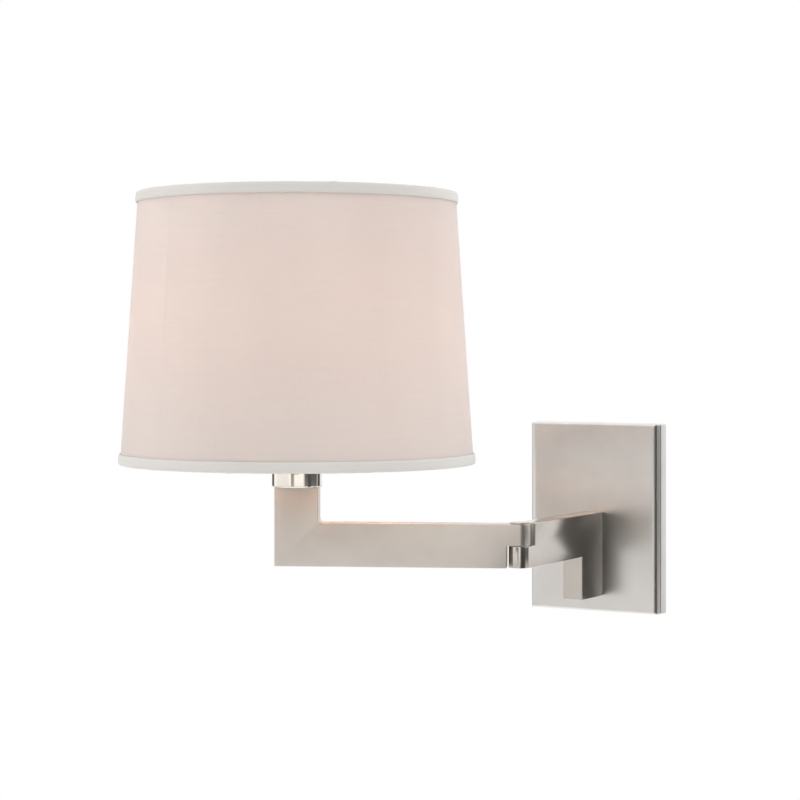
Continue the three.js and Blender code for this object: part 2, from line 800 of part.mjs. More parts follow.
add(head, 'shade_trim_bottom', shadeTrim(shadeBottom, 1), finishes.fauxSilk);
const washerSeat = hubZ + hubThickness + gap;
const washerTop = washerSeat + finialWasherThickness;
add(head, 'finial_washer', sleeve(finialBoreRadius, 9, washerSeat, washerTop, 24), finishes.satinNickel);
add(head, 'finial', finial(), finishes.satinNickel);

export default lamp;
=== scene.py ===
"""Looks of the swing-arm wall lamp: fine metal shapes, the cloth shade, and a white studio round it.

Lengths are in metres and angles in radians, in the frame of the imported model: +Z is up, +Y points
into the wall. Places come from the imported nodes. mm turns millimetres into metres.
"""

import json
import math

import bmesh
import bpy
from mathutils import Matrix, Vector, noise


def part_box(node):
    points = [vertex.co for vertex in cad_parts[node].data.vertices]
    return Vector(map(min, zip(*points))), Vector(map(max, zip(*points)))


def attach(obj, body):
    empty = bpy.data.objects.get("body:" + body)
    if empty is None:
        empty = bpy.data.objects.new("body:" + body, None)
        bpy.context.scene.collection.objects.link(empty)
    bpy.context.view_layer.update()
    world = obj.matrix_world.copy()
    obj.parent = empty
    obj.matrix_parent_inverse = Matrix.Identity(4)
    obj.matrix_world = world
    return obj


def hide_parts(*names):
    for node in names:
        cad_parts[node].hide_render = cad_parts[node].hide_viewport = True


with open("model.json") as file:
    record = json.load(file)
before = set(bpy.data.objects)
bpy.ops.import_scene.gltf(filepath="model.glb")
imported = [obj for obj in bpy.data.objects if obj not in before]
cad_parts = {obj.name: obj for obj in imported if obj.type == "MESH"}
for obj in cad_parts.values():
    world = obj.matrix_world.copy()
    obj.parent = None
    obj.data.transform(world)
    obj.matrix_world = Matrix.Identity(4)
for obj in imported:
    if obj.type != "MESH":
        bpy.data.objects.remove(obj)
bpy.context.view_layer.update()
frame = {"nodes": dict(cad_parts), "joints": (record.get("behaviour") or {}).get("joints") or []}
nodes = frame["nodes"]
mm = 0.001

# Places taken from the frame
hinge = Vector(next(j for j in frame["joints"] if j["name"] == "arm_swing")["pos_m"])
collar_low, collar_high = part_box("socket_collar")
head = (collar_low + collar_high) / 2
head.z = hinge.z
arm_reach = (head - hinge).length
arm_turn = math.atan2(head.y - hinge.y, head.x - hinge.x)
bracket_place = Matrix.Translation(hinge) @ Matrix.Rotation(math.pi / 2, 4, "Z")
arm_place = Matrix.Translation(hinge) @ Matrix.Rotation(arm_turn, 4, "Z")
head_place = Matrix.Translation(head) @ Matrix.Rotation(arm_turn, 4, "Z")
shade_place = Matrix.Translation((head.x, head.y, 0))
pin_place = Matrix.Translation((hinge.x, hinge.y, 0))

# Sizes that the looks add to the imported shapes
bar_width = 15.875 * mm
bar_bevel = 0.45 * mm
plate_roll_depth = 3.5 * mm
plate_roll_side = 5.0 * mm
plate_roll_end = 2.0 * mm
corner_radius = 1.3 * mm
cloth_thickness = 0.5 * mm
cover_lap, cover_lift = 0.5 * mm, 0.04 * mm
tape_lap, tape_lift = 3 * mm, 0.25 * mm
top_seam_turn = math.radians(-51)
cover_seam_turn = math.radians(-107)
bottom_seam_turn = math.radians(122)
bottom_fold_turn = math.radians(-79)
top_kink_turn = math.radians(-2)
liner_seam_turn = cover_seam_turn + 0.3


# Mesh helpers

def in_mm(points):
    """Points given in millimetres, as metres."""
    return [tuple(value * mm for value in point) for point in points]


def quarter_turns(steps):
    """Angles from nothing to a right angle, both included."""
    return [k / steps * math.pi / 2 for k in range(steps + 1)]


def circle(radius, z, segments=160):
    turns = [2 * math.pi * k / segments for k in range(segments)]
    return [(radius * math.cos(t), radius * math.sin(t), z) for t in turns]


def bridge(bm, lower, upper, around=True):
    """Joins two rows of corners with faces. A row of one corner is a pole."""
    count = max(len(lower), len(upper))
    for i in range(count if around else count - 1):
        j = (i + 1) % count
        if len(lower) == 1:
            corners = [lower[0], upper[j], upper[i]]
        elif len(upper) == 1:
            corners = [lower[i], lower[j], upper[0]]
        else:
            corners = [lower[i], lower[j], upper[j], upper[i]]
        bm.faces.new(corners)


def turned(profile, segments=96, closed=False, flute=0.0, flutes=0, bm=None):
    """A turned shape about Z from (radius, height) points. Flutes ripple the radius round the axis."""
    bm = bm or bmesh.new()
    rows = []
    for radius, height in profile:
        if radius < 1e-7:
            rows.append([bm.verts.new((0, 0, height))])
            continue
        row = []
        for i in range(segments):
            turn = 2 * math.pi * i / segments
            reach = radius * (1 + flute * math.cos(flutes * turn))
            row.append(bm.verts.new((reach * math.cos(turn), reach * math.sin(turn), height)))
        rows.append(row)
    for lower, upper in zip(rows, rows[1:]):
        bridge(bm, lower, upper)
    if closed:
        bridge(bm, rows[-1], rows[0])
    return bm


def rounded(points, radius, closed=False, steps=4):
    """A line of (x, y) points with its corners rounded."""
    points = [Vector(p) for p in points]
    count = len(points)
    line = []
    for i, point in enumerate(points):
        if not closed and i in (0, count - 1):
            line.append(tuple(point))
            continue
        before = points[i - 1] - point
        after = points[(i + 1) % count] - point
        start = point + before.normalized() * min(radius, before.length * 0.45)
        end = point + after.normalized() * min(radius, after.length * 0.45)
        for k in range(steps + 1):
            share = k / steps
            place = start * (1 - share) ** 2 + point * 2 * share * (1 - share) + end * share ** 2
            line.append(tuple(place))
    return line


def turned_ring(section, radius, segments, steps=4, bm=None):
    """A ring turned from a closed section, with its corners rounded."""
    return turned(rounded(section, radius, closed=True, steps=steps), segments, closed=True, bm=bm)


def curve_through(points, steps=8):
    """A smooth line through points, each stretch split into steps."""
    points = [Vector(p) for p in points]
    ends = [2 * points[0] - points[1], *points, 2 * points[-1] - points[-2]]
    line = []
    for p0, p1, p2, p3 in zip(ends, ends[1:], ends[2:], ends[3:]):
        for k in range(steps):
            t = k / steps
            slope = (p2 - p0) * t + (2 * p0 - 5 * p1 + 4 * p2 - p3) * t ** 2
            line.append(p1 + 0.5 * (slope + (3 * p1 - p0 - 3 * p2 + p3) * t ** 3))
    return [*line, points[-1]]


def swept(path, radius, sides=14, closed=False, bm=None):
    """A round bar along a path."""
    bm = bm or bmesh.new()
    path = [Vector(p) for p in path]
    count = len(path)
    side = None
    rows = []
    for i, point in enumerate(path):
        ahead = path[(i + 1) % count] if closed or i < count - 1 else point
        behind = path[i - 1] if closed or i > 0 else point
        along = (ahead - behind).normalized()
        if side is None:
            side = along.orthogonal().normalized()
        side = (side - along * side.dot(along)).normalized()
        up = along.cross(side)
        turns = [2 * math.pi * k / sides for k in range(sides)]
        row = [point + side * radius * math.cos(t) + up * radius * math.sin(t) for t in turns]
        rows.append([bm.verts.new(place) for place in row])
    for lower, upper in zip(rows, rows[1:]):
        bridge(bm, lower, upper)
    if closed:
        bridge(bm, rows[-1], rows[0])
    else:
        bm.faces.new(rows[0])
        bm.faces.new(rows[-1])
    return bm


def rectangle_row(bm, half_width, half_height, corner, y, steps=5):
    """Corners of a rectangle with rounded corners, facing along Y."""
    row = []
    for quarter in range(4):
        middle = math.pi / 4 + quarter * math.pi / 2
        x = math.copysign(half_width - corner, math.cos(middle))
        z = math.copysign(half_height - corner, math.sin(middle))
        for k in range(steps + 1):
            turn = quarter * math.pi / 2 + k / steps * math.pi / 2
            place = (x + corner * math.cos(turn), y, z + corner * math.sin(turn))
            row.append(bm.verts.new(place))
    return row


def rectangle_loft(rows):
    """A closed shape through rounded rectangles given as (half width, half height, corner, y)."""
    bm = bmesh.new()
    made = [rectangle_row(bm, *row) for row in rows]
    for lower, upper in zip(made, made[1:]):
        bridge(bm, lower, upper)
    bm.faces.new(made[0])
    bm.faces.new(made[-1])
    return bm


def flat_bar(profile, width, segments=28):
    """A flat bar from its side outline in (x, z). Its first and last points end in a half-round lug."""
    bm = bmesh.new()
    left = [bm.verts.new((x, width / 2, z)) for x, z in profile]
    right = [bm.verts.new((x, -width / 2, z)) for x, z in profile]
    turns = [math.pi / 2 + math.pi * k / segments for k in range(1, segments)]
    ends = []
    for i in (0, -1):
        z = profile[i][1]
        arc = [bm.verts.new((width / 2 * math.cos(t), width / 2 * math.sin(t), z)) for t in turns]
        ends.append([left[i], *arc, right[i]])
    bridge(bm, ends[0], ends[1], around=False)
    bm.faces.new([*ends[0], right[1], left[1]])
    bm.faces.new([*ends[1], right[-2], left[-2]])
    for i in range(1, len(profile) - 2):
        bm.faces.new([left[i], left[i + 1], right[i + 1], right[i]])
    bm.faces.new(left)
    bm.faces.new(right)
    bmesh.ops.recalc_face_normals(bm, faces=bm.faces)
    return bm


def bevel_edges(bm, width, segments=3, least=40):
    sharp = [e for e in bm.edges if e.calc_face_angle(0) > math.radians(least)]
    bmesh.ops.bevel(bm, geom=sharp, offset=width, segments=segments, profile=0.5, affect="EDGES")
    return bm


def mesh_from(name, bm):
    mesh = bpy.data.meshes.new(name)
    bm.to_mesh(mesh)
    bm.free()
    return mesh


def linked(name, data):
    """A new object in the scene."""
    made = bpy.data.objects.new(name, data)
    bpy.context.scene.collection.objects.link(made)
    return made


def piece(name, bm, material, body, replaces=(), place=None, sharp=34):
    """Makes the object, sets it in place, shades it smooth up to an angle and ties it to its body."""
    bmesh.ops.recalc_face_normals(bm, faces=bm.faces)
    mesh = mesh_from(name, bm)
    if place is not None:
        mesh.transform(place)
    mesh.polygons.foreach_set("use_smooth", [True] * len(mesh.polygons))
    mesh.set_sharp_from_angle(angle=math.radians(sharp))
    mesh.materials.append(material)
    made = linked(name, mesh)
    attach(made, body)
    if replaces:
        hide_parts(*replaces)
    return made


def carve(target, bm, place):
    """Cuts a closed shape out of a piece."""
    bmesh.ops.transform(bm, matrix=place, verts=bm.verts)
    bmesh.ops.recalc_face_normals(bm, faces=bm.faces)
    cutter = linked("cutter", mesh_from("cutter", bm))
    step = target.modifiers.new("carve", "BOOLEAN")
    step.operation = "DIFFERENCE"
    step.solver = "EXACT"
    step.object = cutter
    bpy.context.view_layer.update()
    graph = bpy.context.evaluated_depsgraph_get()
    shape = bpy.data.meshes.new_from_object(target.evaluated_get(graph))
    target.modifiers.clear()
    target.data = shape
    bpy.data.objects.remove(cutter)


def smooth_step(low, high, value):
    share = min(1.0, max(0.0, (value - low) / (high - low)))
    return share * share * (3 - 2 * share)


def stations(line):
    """At each (radius, height) point of a line, the distance along it and the outward direction."""
    distances = [0.0]
    for (r0, z0), (r1, z1) in zip(line, line[1:]):
        distances.append(distances[-1] + math.hypot(r1 - r0, z1 - z0))
    normals = []
    for i in range(len(line)):
        (r0, z0), (r1, z1) = line[max(i - 1, 0)], line[min(i + 1, len(line) - 1)]
        length = math.hypot(r1 - r0, z1 - z0)
        normals.append(((z1 - z0) / length, (r0 - r1) / length))
    return distances, normals


def wrapped(line, start, lap, lift, thickness, columns, slant=0.0, wobble=None):
    """Cloth wound once round the shade's axis along a line of (radius, height) points.

    The far end laps over the near one by lap and lies lift further out. slant shears the ends, as
    on tape cut on the bias. wobble gives a small extra reach from a turn and a height.
    """
    bm = bmesh.new()
    uv = bm.loops.layers.uv.new("cloth")
    distances, normals = stations(line)
    mean_radius = sum(r for r, _ in line) / len(line)
    sweep = 2 * math.pi + lap / mean_radius
    sides = {1: [], -1: []}
    flat = {}
    for i in range(columns + 1):
        for side, grid in sides.items():
            row = []
            for (r, z), (nr, nz), along in zip(line, normals, distances):
                turn = start + sweep * i / columns + slant * along / mean_radius
                remaining = (columns - i) / columns * sweep * mean_radius
                out = lift * (1 - smooth_step(lap, lap + 3 * mm, remaining)) if lap else 0
                out += side * thickness / 2 + (wobble(turn, z) if wobble else 0)
                reach = r + nr * out
                spot = (reach * math.cos(turn), reach * math.sin(turn), z + nz * out)
                row.append(bm.verts.new(spot))
                flat[row[-1]] = (sweep * i / columns * mean_radius, along)
            grid.append(row)
    outer, inner = sides[1], sides[-1]
    for a, b in zip(outer, outer[1:]):
        bridge(bm, a, b, around=False)
    for a, b in zip(inner, inner[1:]):
        bridge(bm, b, a, around=False)
    for k in (0, -1):
        edge = [row[k] for row in outer]
        back = [row[k] for row in inner]
        bridge(bm, edge, back, around=False)
    bridge(bm, outer[0], inner[0], around=False)
    bridge(bm, outer[-1], inner[-1], around=False)
    for face in bm.faces:
        for loop in face.loops:
            loop[uv].uv = flat[loop.vert]
    return bm


# Material helpers

class Nodes:
    """A node tree under construction, with short ways to add to it."""

    def __init__(self, tree):
        self.tree = tree

    def node(self, kind, inputs=(), **settings):
        made = self.tree.nodes.new(kind)
        for key, value in settings.items():
            setattr(made, key, value)
        for key, value in dict(inputs).items():
            if isinstance(value, bpy.types.NodeSocket):
                self.tree.links.new(value, made.inputs[key])
            else:
                made.inputs[key].default_value = value
        return made

    def calculated(self, operation, first, second):
        return self.node("ShaderNodeMath", {0: first, 1: second}, operation=operation).outputs[0]

    def mixed(self, factor, first, second, blend="MIX"):
        values = {"Factor": factor, "A": first, "B": second}
        made = self.node("ShaderNodeMix", values, data_type="RGBA", blend_type=blend)
        return made.outputs["Result"]

    def ramp(self, value, *stops):
        made = self.node("ShaderNodeValToRGB", {"Fac": value})
        elements = made.color_ramp.elements
        while len(elements) < len(stops):
            elements.new(1.0)
        for element, (position, colour) in zip(elements, stops):
            element.position = position
            element.color = (*colour, 1.0)
        return made.outputs["Color"]

    def span(self, value, low, high, start=0.0, end=1.0, **settings):
        values = {"Value": value, "From Min": start, "From Max": end, "To Min": low, "To Max": high}
        return self.node("ShaderNodeMapRange", values, **settings).outputs["Result"]


class Paint(Nodes):
    """A material under construction."""

    def __init__(self, name):
        self.material = bpy.data.materials.new(name)
        self.material.use_nodes = True
        super().__init__(self.material.node_tree)
        self.shader = self.tree.nodes["Principled BSDF"]
        self.output = self.tree.nodes["Material Output"]

    def feed(self, name, source):
        """Drives one socket of the shader."""
        self.tree.links.new(source, self.shader.inputs[name])

    def set(self, **values):
        """Sets constants of the shader. A low line in a name stands for a space."""
        for key, value in values.items():
            self.shader.inputs[key.replace("_", " ")].default_value = value

    def coordinates(self, scale, turn=0.0, kind="Object"):
        spot = self.node("ShaderNodeTexCoord").outputs[kind]
        if turn:
            values = {"Vector": spot, "Angle": turn}
            spot = self.node("ShaderNodeVectorRotate", values, rotation_type="Z_AXIS").outputs["Vector"]
        return self.node("ShaderNodeMapping", {"Vector": spot, "Scale": scale}).outputs["Vector"]

    def noise(self, scale, detail=3.0, roughness=0.55, **place):
        values = {"Vector": self.coordinates(scale, **place), "Scale": 1.0}
        values |= {"Detail": detail, "Roughness": roughness}
        return self.node("ShaderNodeTexNoise", values).outputs["Fac"]

    def bump(self, height, strength, distance):
        values = {"Height": height, "Strength": strength, "Distance": distance}
        return self.node("ShaderNodeBump", values).outputs["Normal"]

    def mottled(self, cloudy, colour, mottle):
        low, high = tint(colour, 1 - mottle), tint(colour, 1 + mottle)
        self.feed("Base Color", self.ramp(cloudy, (0.3, low), (0.7, high)))

    def grained(self, fine, roughness, spread, depth):
        """Roughness and relief from one fine texture."""
        self.feed("Roughness", self.span(fine, roughness - spread, roughness + spread, 0.3, 0.7))
        self.feed("Normal", self.bump(fine, depth, 0.05 * mm))


def tint(colour, share):
    return tuple(channel * share for channel in colour)


def metal(name, colour, roughness, grain, turn=0.0, depth=0.006, spread=0.015, mottle=0.04):
    """Worked metal. grain is the texture's scale along X, Y and Z, fine across the lay."""
    paint = Paint(name)
    lay = paint.noise(grain, 4.0, turn=turn)
    paint.mottled(paint.noise((38, 38, 38), turn=turn), colour, mottle)
    paint.grained(lay, roughness, spread, depth)
    paint.set(Metallic=1.0)
    return paint.material


def plastic(name, colour, roughness, grain=900.0, depth=0.15, mottle=0.08):
    """Moulded plastic, card or enamel with a fine surface."""
    paint = Paint(name)
    fine = paint.noise((grain, grain, grain), 4.0)
    paint.mottled(paint.noise((60, 60, 60), 2.0), colour, mottle)
    paint.grained(fine, roughness, 0.06, depth)
    return paint.material


def watered(paint, most):
    """Faint slanting waves in a few upright bands, up to a share."""
    values = {"Vector": paint.coordinates((300, 190, 1), kind="UV"), "Scale": 1.0}
    values |= {"Distortion": 2.2, "Detail": 2.0, "Detail Scale": 0.35}
    waves = paint.node("ShaderNodeTexWave", values, bands_direction="DIAGONAL").outputs["Fac"]
    bands = paint.noise((17, 1.2, 1), 1.0, kind="UV")
    return paint.calculated("MULTIPLY", waves, paint.span(bands, 0.0, most, 0.42, 0.62))


def thin_cloth(name, colour, pale, through_tint, see_through, slub_depth, sheen, ripple=0.0):
    """Woven cloth that lets light through: threads both ways, and slubs along the weft."""
    paint = Paint(name)
    weft = paint.noise((28, 1900, 1), 5.0, 0.6, kind="UV")
    slubs = paint.noise((14, 620, 1), 4.0, 0.65, kind="UV")
    warp = paint.noise((2400, 40, 1), kind="UV")
    cloudy = paint.noise((9, 4, 1), 2.0, kind="UV")
    weave = paint.calculated("ADD", paint.calculated("ADD", weft, warp), slubs)
    surface = paint.calculated("SUBTRACT", weave, watered(paint, ripple))
    threads = paint.ramp(paint.span(surface, 0, 1, 0.8, 2.2), (0.0, colour), (1.0, pale))
    tone = paint.ramp(cloudy, (0.3, (0.965, 0.96, 0.955)), (0.7, (1, 1, 1)))
    cloth_colour = paint.mixed(1.0, threads, tone, "MULTIPLY")
    normal = paint.bump(weave, slub_depth, 0.12 * mm)
    paint.feed("Base Color", cloth_colour)
    paint.feed("Normal", normal)
    paint.set(Roughness=0.72, Sheen_Weight=sheen, Sheen_Roughness=0.45)
    tinted = paint.mixed(1.0, cloth_colour, (*through_tint, 1), "MULTIPLY")
    through = paint.node("ShaderNodeBsdfTranslucent", {"Color": tinted, "Normal": normal})
    values = {"Fac": see_through, 1: paint.shader.outputs[0], 2: through.outputs[0]}
    both = paint.node("ShaderNodeMixShader", values)
    paint.tree.links.new(both.outputs[0], paint.output.inputs["Surface"])
    return paint.material


def lit_glass(name):
    """Frosted bulb glass that glows, unevenly and warm."""
    paint = Paint(name)
    cloudy = paint.noise((70, 70, 70))
    warm = paint.ramp(cloudy, (0.35, (1.0, 0.5, 0.3)), (0.65, (1.0, 0.56, 0.36)))
    paint.feed("Emission Color", warm)
    paint.feed("Roughness", paint.span(cloudy, 0.3, 0.45, 0.3, 0.7))
    paint.set(Base_Color=(0.9, 0.86, 0.8, 1), Emission_Strength=bulb_strength)
    return paint.material


def covering(name, colour):
    """Wire covering with a fine wound lay."""
    paint = Paint(name)
    bands = paint.noise((300, 300, 2200))
    paint.feed("Base Color", paint.ramp(bands, (0.35, tint(colour, 0.8)), (0.65, colour)))
    paint.feed("Normal", paint.bump(bands, 0.3, 0.1 * mm))
    paint.set(Roughness=0.55)
    return paint.material


bulb_strength = 24.0
# Warm nickel: partly the metal's own tone, partly a painted warm glow, the lit shade's reflection in the arm
# and bracket.
nickel = (0.63, 0.59, 0.545)
# The plate's nickel is painted lighter and greyer than the other nickel, to make up for the shade's darker,
# warm reflection in the plate's upper half.
nickel_painted_lighter = (0.68, 0.665, 0.64)
plate_nickel_painted_lighter = metal("satin_nickel_upright_lay_painted_lighter", nickel_painted_lighter, 0.3, (2600, 2600, 22))
bracket_nickel = metal("satin_nickel_bracket", nickel, 0.2, (2600, 22, 2600))
arm_nickel = metal("satin_nickel_arm", nickel, 0.4, (22, 2600, 2600), turn=-arm_turn)
turned_nickel = metal("satin_nickel_turned", nickel, 0.3, (60, 60, 3000))
polished = metal("polished_nickel", (0.84, 0.8, 0.74), 0.06, (40, 40, 2500),
                 depth=0.004, spread=0.02, mottle=0.015)
zinc = metal("zinc_plate", (0.5, 0.52, 0.54), 0.38, (500, 500, 500), depth=0.03, mottle=0.16)
green_zinc = metal("green_zinc", (0.06, 0.24, 0.09), 0.42, (500, 500, 500), depth=0.03, mottle=0.16)
brass = metal("lampholder_brass", (0.62, 0.42, 0.15), 0.3, (60, 60, 2500), mottle=0.12)
phenolic = plastic("black_phenolic", (0.016, 0.014, 0.013), 0.36)
nylon = plastic("nylon", (0.66, 0.64, 0.58), 0.5)
paperboard = plastic("fish_paper", (0.3, 0.22, 0.13), 0.85, grain=420, depth=0.5, mottle=0.2)
wire_cloth = covering("wire_covering", (0.56, 0.47, 0.28))
pink, clear = (1.0, 0.93, 0.9), (1.0, 1.0, 1.0)
silk = thin_cloth("faux_silk", (0.82, 0.795, 0.775), (0.89, 0.87, 0.85), pink,
                  0.42, 0.3, 0.25, ripple=0.28)
tape = thin_cloth("trim_tape", (0.70, 0.68, 0.65), (0.79, 0.77, 0.745), clear, 0.15, 0.4, 0.2)
liner = thin_cloth("styrene_liner", (0.9, 0.89, 0.88), (0.94, 0.93, 0.92), clear, 0.5, 0.04, 0.0)
frosted = lit_glass("frosted_glass")


# Wall side

def front_plate():
    """The plate's front rolls back to its edges, more so at the sides, with small rounded corners."""
    low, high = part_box("front_plate")
    half_width, half_height = (high.x - low.x) / 2, (high.z - low.z) / 2
    back_edge = 0.3 * mm
    rows = [(half_width - back_edge, half_height - back_edge, corner_radius, high.y)]
    for turn in quarter_turns(12):
        side, end = plate_roll_side * (1 - math.cos(turn)), plate_roll_end * (1 - math.cos(turn))
        y = low.y + plate_roll_depth * (1 - math.sin(turn))
        rows.append((half_width - side, half_height - end, corner_radius, min(y, high.y - back_edge)))
    bm = rectangle_loft(rows)
    piece("front_plate_rolled", bm, plate_nickel_painted_lighter, "wall_side", ["front_plate"])


def back_pan():
    """A drawn tray, open at the wall, with its front edge and corners rounded."""
    low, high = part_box("back_pan")
    half_width, half_height = (high.x - low.x) / 2, (high.z - low.z) / 2
    wall, edge = 1.5 * mm, 0.9 * mm
    rows = [(half_width - wall, half_height - wall, corner_radius, low.y + wall)]
    rows.append((half_width - wall, half_height - wall, corner_radius, high.y))
    rows.append((half_width, half_height, corner_radius, high.y))
    for turn in quarter_turns(5):
        inset = edge * (1 - math.cos(turn))
        y = low.y + edge * (1 - math.sin(turn))
        rows.append((half_width - inset, half_height - inset, corner_radius, y))
    bm = rectangle_loft(rows)
    piece("back_pan_drawn", bm, plate_nickel_painted_lighter, "wall_side", ["back_pan"])


def wall_bracket():
    """The L-shaped bar with the lower hinge lug, its edges eased, and its counterbore below."""
    low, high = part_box("wall_bracket")
    reach = high.y - hinge.y
    foot, top, bottom = low.z - hinge.z, high.z - hinge.z, hinge.z - high.z
    leg, notch, lap = 38.1 * mm, 9.3 * mm, 0.25 * mm
    profile = [(0, bottom), (reach - leg, bottom), (reach - leg, foot), (reach, foot)]
    profile += [(reach, top), (notch, top), (notch, -lap), (0, -lap)]
    bm = bevel_edges(flat_bar(profile, bar_width), bar_bevel)
    bar = piece("wall_bracket_bar", bm, bracket_nickel, "wall_side",
                ["wall_bracket"], bracket_place)
    bore, depth, clear_of = 6.1 * mm, 1.6 * mm, 2 * mm
    recess = [(0, bottom - clear_of), (bore, bottom - clear_of), (bore, bottom + depth), (0, bottom + depth)]
    carve(bar, turned(recess, 64), bracket_place)


def bottom_cap():
    low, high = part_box("pivot_cap_bottom")
    radius = (high.x - low.x) / 2
    profile = [(0, high.z), (radius, high.z), (radius, low.z + 0.1 * mm), (radius * 0.5, low.z), (0, low.z)]
    bm = turned(rounded(profile, 0.4 * mm), 64)
    piece("pivot_cap_low", bm, turned_nickel, "wall_side", ["pivot_cap_bottom"], pin_place)


front_plate()
back_pan()
wall_bracket()
bottom_cap()


# Arm side

def swing_arm():
    """The bar with its upper hinge lug and its upright, with eased edges."""
    low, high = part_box("swing_arm")
    half_height = hinge.z - low.z
    top = high.z - hinge.z
    inner, outer = arm_reach - half_height, arm_reach + half_height
    notch, lap, inside = 9 * mm, 0.25 * mm, 3 * mm
    profile = [(0, lap), (notch, lap), (notch, -half_height), (outer, -half_height)]
    profile += [(outer, top), (inner, top)]
    for turn in quarter_turns(8):
        x = inner - inside + inside * math.cos(turn)
        profile.append((x, half_height + inside - inside * math.sin(turn)))
    profile.append((0, half_height))
    bm = bevel_edges(flat_bar(profile, bar_width), bar_bevel)
    piece("swing_arm_bar", bm, arm_nickel, "arm_side", ["swing_arm"], arm_place)


def top_cap():
    low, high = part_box("pivot_cap_top")
    radius = (high.x - low.x) / 2
    seat = low.z + 1.65 * mm
    profile = [(0, low.z), (5.8 * mm, low.z), (5.8 * mm, seat), (radius, seat)]
    profile += [(radius, high.z - 0.35 * mm), (radius - 0.5 * mm, high.z - 0.1 * mm), (0, high.z)]
    bm = turned(rounded(profile, 0.3 * mm), 72)
    piece("pivot_cap_high", bm, turned_nickel, "arm_side", ["pivot_cap_top"], pin_place)


def socket_collar():
    """The polished ring on the upright, with a soft lower edge and a fine rolled lip."""
    low, high = collar_low.z, collar_high.z
    radius = (collar_high.x - collar_low.x) / 2
    wall = 1.2 * mm
    bore = 5.15 * mm
    profile = [(bore, low), (radius, low), (radius, high), (radius - wall, high)]
    profile += [(radius - wall, low + 1.5 * mm), (bore, low + 1.5 * mm)]
    bm = turned_ring(profile, 1.4 * mm, 128, steps=7)
    piece("socket_collar_ring", bm, polished, "arm_side", ["socket_collar"], shade_place)


def harp_loop():
    """The wire loop, its seat and its stud, about the head's axis."""
    half = [(30, 72.3), (30, 84), (35, 104), (43, 140), (44, 176), (35, 208), (18, 229), (7, 236.2)]
    right = [(x * mm, 0, z * mm) for x, z in half]
    left = [(-x, y, z) for x, y, z in reversed(right)]
    bm = swept(curve_through([*right, (0, 0, 236.6 * mm), *left]), 1.6 * mm)
    seat = [(0, 235.4), (7, 235.4), (7, 240.3), (3.1, 240.3)]
    turned(rounded(in_mm(seat), 0.8 * mm), 48, bm=bm)
    thread = [(3.1 * mm, 240.3 * mm)]
    for k in range(37):
        height = 240.5 + k * 0.34
        thread.append(((2.85 + 0.22 * (k % 2)) * mm, height * mm))
    thread.append((0, 253 * mm))
    turned(thread, 32, bm=bm)
    piece("harp_loop", bm, zinc, "arm_side", ["harp"], head_place)


def harp_sleeves():
    """Two sliding ferrules that lock the loop to its saddle."""
    outline = [(1.9, 66), (3.4, 66), (3.4, 67.5), (3.0, 68.3), (3.0, 78), (3.4, 78.8), (3.4, 80), (1.9, 80)]
    for name, side in (("harp_sleeve_left", 1), ("harp_sleeve_right", -1)):
        bm = turned_ring(in_mm(outline), 0.4 * mm, 40)
        place = head_place @ Matrix.Translation((side * 30 * mm, 0, 0))
        piece(name + "_ferrule", bm, zinc, "arm_side", [name], place)


def lampholder():
    """Cap and shell of the brass-cored lampholder, with rolled beads."""
    cap = [(5.15, 62.4), (10, 62.4), (15, 64.6), (17, 67.9), (17, 78.4), (16.2, 78.4)]
    cap += [(16.2, 68.4), (14.4, 65.6), (9.8, 63.4), (5.15, 63.4)]
    bm = turned_ring(in_mm(cap), 0.7 * mm, 80)
    piece("socket_cap_spun", bm, turned_nickel, "arm_side", ["socket_cap"], head_place)
    outside = [(15.9, 74.4), (15.9, 84), (16.25, 85), (15.9, 86), (15.9, 106), (16.25, 107)]
    outside += [(15.9, 108), (15.9, 115), (16.5, 116), (16.5, 120), (15.8, 120), (15.8, 116.4)]
    outside += [(15.2, 115.4), (15.2, 74.4)]
    bm = turned_ring(in_mm(outside), 0.5 * mm, 80)
    shell = piece("socket_shell_beaded", bm, turned_nickel, "arm_side",
                  ["socket_shell"], head_place)
    window = swept([(0, 5 * mm, 80 * mm), (0, 20 * mm, 80 * mm)], 3.2 * mm, 32)
    carve(shell, window, head_place)


def bulb():
    """Pear-shaped glass and its screw cap."""
    low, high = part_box("bulb_glass")
    base, top = low.z - hinge.z, high.z - hinge.z
    radius = 30 * mm
    widest = top - radius
    line = [(0, base), (12.6 * mm, base), (13.2 * mm, base + 4.7 * mm)]
    start, reach = Vector((13.6 * mm, base + 8.7 * mm)), widest - base - 8.7 * mm
    first, second = start + Vector((1.8 * mm, 0.29 * reach)), Vector((radius, widest - 0.56 * reach))
    for k in range(25):
        t = k / 24
        point = start * (1 - t) ** 3 + first * 3 * t * (1 - t) ** 2
        point += second * 3 * t * t * (1 - t) + Vector((radius, widest)) * t ** 3
        line.append(tuple(point))
    for turn in quarter_turns(24)[1:-1]:
        line.append((radius * math.cos(turn), widest + radius * math.sin(turn)))
    line.append((0, widest + radius))
    glass = piece("bulb_glass_pear", turned(line, 96), frosted, "arm_side",
                  ["bulb_glass"], head_place)
    glass.visible_glossy = False
    cap_low, cap_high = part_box("bulb_cap")
    bottom, brim = cap_low.z - hinge.z, cap_high.z - hinge.z
    rise = 3.6 * mm
    cap = [(0, bottom), (7 * mm, bottom), (11.6 * mm, bottom + 3 * mm)]
    for k in range(61):
        height = bottom + 4.5 * mm + k / 60 * (brim - bottom - 6 * mm)
        cap.append(((12.55 + 0.45 * math.cos(2 * math.pi * height / rise)) * mm, height))
    cap += [(12.9 * mm, brim), (0, brim)]
    piece("bulb_cap_threaded", turned(cap, 80), zinc, "arm_side", ["bulb_cap"], head_place)


